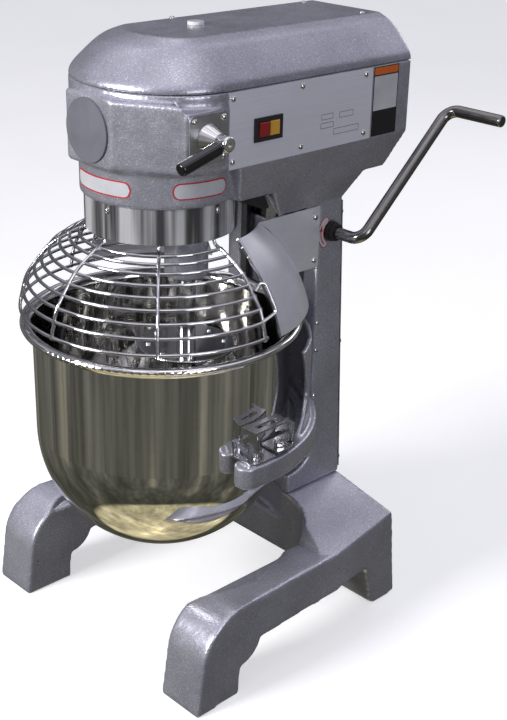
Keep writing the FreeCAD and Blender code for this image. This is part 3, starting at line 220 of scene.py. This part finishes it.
def plastic(name, base, rough, grain=600, bump=0.05, coat=0.0):
    """Moulded or printed surface, faintly mottled and grained."""
    m = Nodes(name).set(Coat_Weight=coat, Coat_Roughness=0.08)
    mottled = m.noise(30, 3)
    m.color(m.ramp(mottled, (0.3, tuple(c * 0.82 for c in base)), (0.7, base)))
    m.rough(m.spread(m.noise(90, 3), 0.3, 0.7, rough * 0.85, min(1.0, rough * 1.25)))
    return m.normal(m.bump(m.noise(grain, 2), bump, 0.0004, m.round_off(0.0006))).material


def reflection_banded_steel(name, base):
    """Rolled band with upright polishing marks in its bump; its colour paints the light and dark
    reflection bands of polished steel.
    """
    m = Nodes(name).set(Metallic=0.6)
    polish_marks_and_reflection_bands = m.noise(1.0, 3, 0.62, m.stretched((46, 46, 1.2)))
    # painted reflection: the dark and light upright bands in the colour stand in for the polished band's
    # reflections
    m.color(m.ramp(polish_marks_and_reflection_bands, (0.40, tuple(c * 0.12 for c in base)), (0.50, tuple(c * 0.55 for c in base)),
                   (0.58, base)))
    m.rough(m.spread(m.noise(30, 3), 0.3, 0.7, 0.14, 0.26))
    return m.normal(m.bump(polish_marks_and_reflection_bands, 0.12, 0.002, m.round_off(0.0005))).material


def machined(name, base, rough, scale=260):
    """Bare metal with short tool marks and a light stain."""
    m = Nodes(name).set(Metallic=1.0)
    marks = m.noise(scale, 4, 0.65)
    stain = m.noise(22, 4)
    m.color(m.ramp(stain, (0.3, tuple(c * 0.6 for c in base)), (0.65, base)))
    m.rough(m.spread(marks, 0.3, 0.7, rough * 0.8, rough * 1.3))
    return m.normal(m.bump(marks, 0.12, 0.0005, m.round_off(0.0005))).material


M = {
    "paint": sparkle_paint("paint"),
    "cover_paint": sparkle_paint("cover_paint", (0.44, 0.44, 0.51)),
    "disc": plastic("disc", (0.17, 0.17, 0.20), 0.45, 200, 0.03),
    "stainless": turned_steel("stainless", (0.74, 0.74, 0.77), 0.10, 0.20, (5, 5, 900), 0.004),
    "guard_sheet": turned_steel("guard_sheet", (0.92, 0.92, 0.99), 0.26, 0.38, (40, 40, 60), 0.04,
                                metallic=0.55),
    "stainless_mirror": mirror_steel("stainless_mirror", (0.86, 0.85, 0.83), 0.035, 0.10),
    "wire": mirror_steel("wire", (0.68, 0.68, 0.70), 0.06, 0.16, 0.0),
    "whisk_steel": mirror_steel("whisk_steel", (0.66, 0.66, 0.66), 0.08, 0.2, 0.0),
    "screw": machined("screw", (0.72, 0.72, 0.70), 0.16),
    "steel": machined("steel", (0.55, 0.55, 0.55), 0.22),
    "crank_steel": turned_steel("crank_steel", (0.26, 0.25, 0.24), 0.14, 0.26, (60, 60, 60), 0.03),
    "panel": turned_steel("panel", (0.82, 0.82, 0.90), 0.34, 0.46, (300, 6, 900), 0.03, metallic=0.2),
    "collar": reflection_banded_steel("collar", (0.95, 0.95, 0.99)),
    "nickel": machined("nickel", (0.62, 0.62, 0.67), 0.36, 420),
    "black_plastic": plastic("black_plastic", (0.006, 0.006, 0.007), 0.16, 300, 0.01, 0.6),
    "matte_black": plastic("matte_black", (0.018, 0.018, 0.02), 0.5),
    "red_plastic": plastic("red_plastic", (0.36, 0.012, 0.012), 0.22, 300, 0.02, 0.5),
    "amber_plastic": plastic("amber_plastic", (0.78, 0.40, 0.05), 0.22, 300, 0.02, 0.5),
    "white_plastic": plastic("white_plastic", (0.78, 0.80, 0.80), 0.3),
    "label": plastic("label", (0.62, 0.61, 0.62), 0.4, 900, 0.02),
    "gear_steel": machined("gear_steel", (0.36, 0.35, 0.34), 0.3),
    "bronze": machined("bronze", (0.50, 0.33, 0.14), 0.32),
    "casting": machined("casting", (0.16, 0.16, 0.165), 0.55, 160),
    "motor_paint": plastic("motor_paint", (0.06, 0.10, 0.16), 0.4, 400, 0.1),
    "belt": plastic("belt", (0.012, 0.012, 0.012), 0.7, 900, 0.2),
    "red_print": plastic("red_print", (0.55, 0.03, 0.04), 0.4),
    "white_print": plastic("white_print", (0.60, 0.61, 0.64), 0.35),
    "orange_print": plastic("orange_print", (0.75, 0.16, 0.02), 0.4),
    "black_print": plastic("black_print", (0.012, 0.012, 0.014), 0.4),
}
NODE_MATERIAL = {"splash_guard_right": "guard_sheet", "splash_guard_left": "guard_sheet",
                 "hub_cover": "disc", "slide_gibs": "casting", "collar_band": "collar",
                 "shift_plate": "nickel"}  # every other node takes its record slot's material

record_slots = {part["node"]: part["material_slot"] for part in frame["record"]["subparts"]}
for node, item in NODES.items():
    item.data.materials.clear()
    item.data.materials.append(M[NODE_MATERIAL.get(node, record_slots[node])])


def smooth_by_angle(mesh, degrees):
    """Smooth shading that keeps edges sharper than the angle."""
    mesh.shade_smooth()
    bm = bmesh.new()
    bm.from_mesh(mesh)
    limit = math.radians(degrees)
    for edge in bm.edges:
        edge.smooth = len(edge.link_faces) == 2 and edge.calc_face_angle(0) < limit
    bm.to_mesh(mesh)
    bm.free()


def soften(node, voxel, rounds):
    """Sand-cast look: the casting's edges are rounded over by a few millimetres."""
    item = NODES[node]
    remesh = item.modifiers.new("Skin", "REMESH")
    remesh.mode = "VOXEL"
    remesh.voxel_size = voxel
    remesh.use_smooth_shade = True
    ease = item.modifiers.new("Ease", "SMOOTH")
    ease.factor, ease.iterations = 0.5, rounds


soften("base", 0.0024, 10)
soften("body_casting", 0.0022, 6)
soften("top_cover", 0.0018, 8)
soften("bowl_carriage", 0.002, 4)

# ---- Added pieces --------------------------------------------------------------------------------


def add_mesh(name, vertices, faces, material, body):
    mesh = bpy.data.meshes.new(name)
    mesh.from_pydata([tuple(v) for v in vertices], [], faces)
    mesh.validate()
    item = bpy.data.objects.new(name, mesh)
    scene.collection.objects.link(item)
    mesh.materials.append(M[material])
    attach(item, body)
    return item


def stadium(width, height, radius, steps=8):
    """Outline of a rectangle with round corners, anticlockwise about its middle."""
    points = []
    for cx, cy, start in ((1, -1, -90), (1, 1, 0), (-1, 1, 90), (-1, -1, 180)):
        for k in range(steps + 1):
            angle = math.radians(start + 90 * k / steps)
            points.append((cx * (width / 2 - radius) + radius * math.cos(angle),
                           cy * (height / 2 - radius) + radius * math.sin(angle)))
    return points


def plate_from(name, outline, place, thick, material, body):
    """Flat outline as a thin plate; place turns (u, v, depth) into a point on the object."""
    bm = bmesh.new()
    low = [bm.verts.new(place(u, v, 0.0)) for u, v in outline]
    high = [bm.verts.new(place(u, v, thick)) for u, v in outline]
    bm.faces.new(high)
    bm.faces.new(low[::-1])
    for a in range(len(outline)):
        b = (a + 1) % len(outline)
        bm.faces.new((low[a], low[b], high[b], high[a]))
    bmesh.ops.recalc_face_normals(bm, faces=bm.faces)
    mesh = bpy.data.meshes.new(name)
    bm.to_mesh(mesh)
    bm.free()
    item = bpy.data.objects.new(name, mesh)
    scene.collection.objects.link(item)
    mesh.materials.append(M[material])
    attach(item, body)
    return item


def wrapped_label(name, middle_deg, middle_z, width, height):
    """Sticker wrapped round the skirt: a red outline with a pale blank field inside."""
    radius, lift, outline_width, columns = SKIRT_RADIUS, 0.0001, 0.0017, 48
    for part, inset, extra, material, slot in (("rim", 0.0, 0.0002, "red_print", "red_plastic"),
                                               ("field", outline_width, 0.00035, "white_print", "label")):
        w, h = width - 2 * inset, height - 2 * inset
        corner = h / 2 - 0.0002
        vertices, faces = [], []
        for k in range(columns + 1):
            s = -w / 2 + w * k / columns
            over = max(0.0, abs(s) - (w / 2 - corner))
            half = math.sqrt(max(corner ** 2 - over ** 2, 0.0)) + (h / 2 - corner)
            angle = math.radians(middle_deg) + s / radius
            for z in (middle_z - half, middle_z + half):
                r = radius + lift + extra
                vertices.append((r * math.sin(angle), BOWL_Y - r * math.cos(angle), z))
        for k in range(columns):
            faces.append((2 * k, 2 * k + 2, 2 * k + 3, 2 * k + 1))
        add_mesh(f"{name}_{part}", vertices, faces, material, "frame")


wrapped_label("skirt_label_front", 1.5, 0.6065, 0.094, 0.0195)
wrapped_label("skirt_label_side", 79, 0.6065, 0.071, 0.0195)


def on_side(x):
    """Placement for plates lying on a face that looks along +X; u runs to the rear, v up."""
    return lambda u, v, depth: (x + depth, u + BOWL_Y, v)


def shifted(outline, u, v):
    return [(u + a, v + b) for a, b in outline]


def on_circle(radius, degrees):
    angle = math.radians(degrees)
    return radius * math.cos(angle), radius * math.sin(angle)


def round_end(radius, half, degrees, turn, steps=8):
    """Half circle that closes an arc band; turn is 0 at its far end and 180 at its near end."""
    middle = on_circle(radius, degrees)
    rim = [on_circle(half, degrees + turn + 180 * k / steps) for k in range(1, steps)]
    return shifted(rim, *middle)


def arc_band(radius, half, start, end, steps=28):
    """Outline of a band along an arc, with round ends."""
    angles = [start + (end - start) * k / steps for k in range(steps + 1)]
    outer = [on_circle(radius + half, angle) for angle in angles]
    inner = [on_circle(radius - half, angle) for angle in angles[::-1]]
    return outer + round_end(radius, half, end, 0) + inner + round_end(radius, half, start, 180)


# Turning-direction sticker beside the crank: a curved band with an arrow.
TURN_RADIUS = 0.0185
TURN_U, TURN_V = 0.2065, 0.5085
for part, half, start, end, depth, material, slot in (
        ("rim", 0.0052, 122, 232, 0.0002, "red_print", "red_plastic"),
        ("field", 0.0041, 122, 232, 0.00035, "white_print", "label"),
        ("arrow", 0.0008, 168, 226, 0.0005, "red_print", "red_plastic")):
    band = shifted(arc_band(TURN_RADIUS, half, start, end), TURN_U, TURN_V)
    plate_from(f"turn_label_{part}", band, on_side(COLUMN_FACE), depth, material, "frame")
tip = [(-TURN_RADIUS - 0.0030, 0.0), (-TURN_RADIUS + 0.0030, 0.0), (-0.0170, 0.0085)]
plate_from("turn_label_head", shifted(tip, TURN_U, TURN_V + 0.0030), on_side(COLUMN_FACE), 0.0005,
           "red_print", "frame")

# Safety plate: plain colour fields, no lettering and no sign.
for name, y0, y1, z0, z1, material, slot in (
        ("plate_border", 0.2356, 0.2808, 0.6302, 0.7143, "black_print", "matte_black"),
        ("plate_header", 0.2370, 0.2794, 0.7045, 0.7132, "orange_print", "amber_plastic"),
        ("plate_field", 0.2370, 0.2794, 0.6615, 0.7030, "white_print", "label")):
    depth = 0.00015 if name == "plate_border" else 0.0003
    outline = shifted(stadium(y1 - y0, z1 - z0, 0.0009, 3), (y0 + y1) / 2, (z0 + z1) / 2)
    plate_from(name, outline, on_side(HEAD_FACE), depth, material, "frame")


def printed_frame(name, y0, y1, z0, z1, line=0.0005):
    """Thin outline of an empty field on the control panel."""
    outer = stadium(y1 - y0, z1 - z0, 0.0012, 4)
    inner = stadium(y1 - y0 - 2 * line, z1 - z0 - 2 * line, 0.0008, 4)
    middle = ((y0 + y1) / 2 + BOWL_Y, (z0 + z1) / 2)
    count = len(outer)
    vertices = [(PANEL_FACE, middle[0] + u, middle[1] + v) for u, v in outer + inner]
    faces = [(k, (k + 1) % count, count + (k + 1) % count, count + k) for k in range(count)]
    add_mesh(name, vertices, faces, "black_print", "frame")


PANEL_FIELDS = ((146.5, 166.5, 663.8, 670.4), (177, 201, 662.6, 669.6), (145.5, 167.5, 653.6, 660.2),
                (168, 211.5, 643.8, 651.2))  # y and z limits in millimetres
for number, (y0, y1, z0, z1) in enumerate(PANEL_FIELDS):
    printed_frame(f"panel_field_{number}", y0 / 1000, y1 / 1000, z0 / 1000, z1 / 1000)

# Front edge of each splash guard, as radius and height in millimetres, and its azimuth.
GUARD_SECTION = [(178.5, 443), (174, 458), (167.5, 474), (159, 490), (149, 506), (137, 522), (126.5, 534),
                 (115, 546.5)]
GUARD_EDGE_DEG = 98.5
LIP_SECTION = [(-0.9, -1.3), (2.6, -1.3), (3.4, -0.6), (3.4, 0.6), (2.6, 1.3), (1.0, 1.3), (0.8, 3.4),
               (-0.9, 3.4)]


def guard_lip(name, side):
    """Folded front edge of a splash guard; side is 1 on the right and -1 on the left."""
    points = []
    for (r0, z0), (r1, z1) in zip(GUARD_SECTION, GUARD_SECTION[1:]):
        for k in range(4):
            points.append((r0 + (r1 - r0) * k / 4, z0 + (z1 - z0) * k / 4))
    points.append(GUARD_SECTION[-1])
    smooth = []
    for k, point in enumerate(points):
        near = points[max(k - 2, 0):k + 3]
        smooth.append((sum(p[0] for p in near) / len(near), sum(p[1] for p in near) / len(near)))
    smooth[0], smooth[-1] = points[0], points[-1]
    vertices, faces = [], []
    edge = math.radians(GUARD_EDGE_DEG) * side
    along = Vector((math.cos(edge), math.sin(edge), 0)) * side
    for k, (r, z) in enumerate(smooth):
        before, after = smooth[max(k - 1, 0)], smooth[min(k + 1, len(smooth) - 1)]
        slope = Vector((after[0] - before[0], 0, after[1] - before[1])).normalized()
        out = Vector((slope.z, 0, -slope.x))
        radial = Vector((math.sin(edge), -math.cos(edge), 0))
        middle = radial * r + Vector((0, BOWL_Y * 1000, z))
        for u, v in LIP_SECTION:
            vertices.append((middle + (radial * out.x + Vector((0, 0, out.z))) * u + along * v) / 1000)
    count = len(LIP_SECTION)
    for k in range(len(smooth) - 1):
        for a in range(count):
            b = (a + 1) % count
            faces.append((k * count + a, k * count + b, (k + 1) * count + b, (k + 1) * count + a))
    faces.append(tuple(range(count - 1, -1, -1)))
    faces.append(tuple(len(vertices) - count + a for a in range(count)))
    item = add_mesh(name, vertices, faces, "wire", "frame")
    bm = bmesh.new()
    bm.from_mesh(item.data)
    bmesh.ops.recalc_face_normals(bm, faces=bm.faces)
    bm.to_mesh(item.data)
    bm.free()
    smooth_by_angle(item.data, 40)


guard_lip("guard_lip_right", 1)
guard_lip("guard_lip_left", -1)

for item in NODES.values():
    smooth_by_angle(item.data, 28)

# ---- Floor, backdrop and light -------------------------------------------------------------------

FLOOR_EDGE = 0.07  # where the hall's pale floor ends, as a fraction of the way up


def stage_material():
    m = Nodes("stage").set(Roughness=0.9, Specular_IOR_Level=0.1, Emission_Color=(0.9, 0.9, 0.92),
                           Emission_Strength=0.52)
    m.color(m.ramp(m.noise(3, 2), (0.3, (0.86, 0.86, 0.86)), (0.7, (0.90, 0.90, 0.90))))
    return m.material


floor = bpy.data.meshes.new("floor")
floor.from_pydata([(-6, -6, 0), (6, -6, 0), (6, 6, 0), (-6, 6, 0)], [], [(0, 1, 2, 3)])
ground = bpy.data.objects.new("floor", floor)
scene.collection.objects.link(ground)
floor.materials.append(stage_material())
ground.visible_glossy = False
ground.visible_diffuse = False


class WorldNodes(Nodes):
    """The same short calls on the world's node tree."""

    def __init__(self, world):
        self.tree = world.node_tree
        self.tree.nodes.clear()
        self.place = self.tree.nodes.new("ShaderNodeTexCoord").outputs["Generated"]
        split = self.tree.nodes.new("ShaderNodeSeparateXYZ")
        self.link(self.place, split.inputs[0])
        self.height = self.spread(split.outputs["Z"], -1, 1, 0, 1)

    def background(self, color):
        node = self.tree.nodes.new("ShaderNodeBackground")
        if isinstance(color, tuple):
            node.inputs["Color"].default_value = (*color, 1)
        else:
            self.link(color, node.inputs["Color"])
        return node.outputs[0]

    def choose(self, factor, first, second):
        node = self.tree.nodes.new("ShaderNodeMixShader")
        for socket, source in zip(node.inputs, (factor, first, second)):
            self.link(source, socket)
        return node.outputs[0]


def make_world():
    """Pale to the camera, a soft gradient for diffuse light, and a dim hall for reflections."""
    world = bpy.data.worlds.new("World")
    world.use_nodes = True
    scene.world = world
    w = WorldNodes(world)
    path = w.tree.nodes.new("ShaderNodeLightPath").outputs
    soft = w.ramp(w.height, (0.0, (0.06, 0.06, 0.06)), (0.42, (0.12, 0.12, 0.13)),
                  (0.6, (0.26, 0.26, 0.30)), (1.0, (0.28, 0.28, 0.33)))
    hall = w.ramp(w.height, (0.0, (0.66, 0.58, 0.36)), (FLOOR_EDGE, (0.56, 0.50, 0.31)),
                  (FLOOR_EDGE + 0.012, (0.060, 0.060, 0.046)), (0.25, (0.105, 0.104, 0.086)),
                  (0.40, (0.125, 0.125, 0.118)), (0.50, (0.17, 0.17, 0.185)),
                  (0.70, (0.11, 0.11, 0.135)), (0.84, (0.62, 0.62, 0.72)), (1.0, (1.00, 1.00, 1.10)))
    broad = w.ramp(w.noise(1.0, 1.5, 0.5, w.stretched((4.0, 4.0, 0.25))), (0.34, (0.62, 0.62, 0.62)),
                   (0.60, (1.15, 1.15, 1.15)), (0.70, (2.3, 2.2, 2.0)))
    fine = w.ramp(w.noise(1.0, 2.0, 0.5, w.stretched((17, 17, 0.4))), (0.35, (0.78, 0.78, 0.78)),
                  (0.70, (1.32, 1.32, 1.32)))
    hall = w.mixed(1.0, w.mixed(1.0, hall, broad, "MULTIPLY"), fine, "MULTIPLY")
    lit = w.choose(path["Is Glossy Ray"], w.background(soft), w.background(hall))
    out = w.tree.nodes.new("ShaderNodeOutputWorld")
    w.link(w.choose(path["Is Camera Ray"], lit, w.background((0.94, 0.94, 0.95))), out.inputs["Surface"])


make_world()


def area_light(name, place, aim, size, power, color=(1, 1, 1)):
    data = bpy.data.lights.new(name, "AREA")
    data.shape = "RECTANGLE"
    data.size, data.size_y = size
    data.energy = power
    data.color = color
    lamp = bpy.data.objects.new(name, data)
    scene.collection.objects.link(lamp)
    lamp.location = place
    lamp.rotation_euler = (Vector(aim) - Vector(place)).to_track_quat("-Z", "Y").to_euler()


area_light("key", (-0.5, -2.7, 1.55), (0, 0, 0.5), (1.0, 0.8), 86)
area_light("side", (2.7, -0.5, 1.2), (0, 0, 0.5), (1.0, 1.2), 17, (0.93, 0.95, 1.0))
area_light("back", (-0.2, 2.6, 1.7), (0, 0, 0.5), (1.2, 0.8), 8)

scene.view_settings.view_transform = "Standard"
scene.view_settings.look = "None"
scene.view_settings.exposure = 0.0
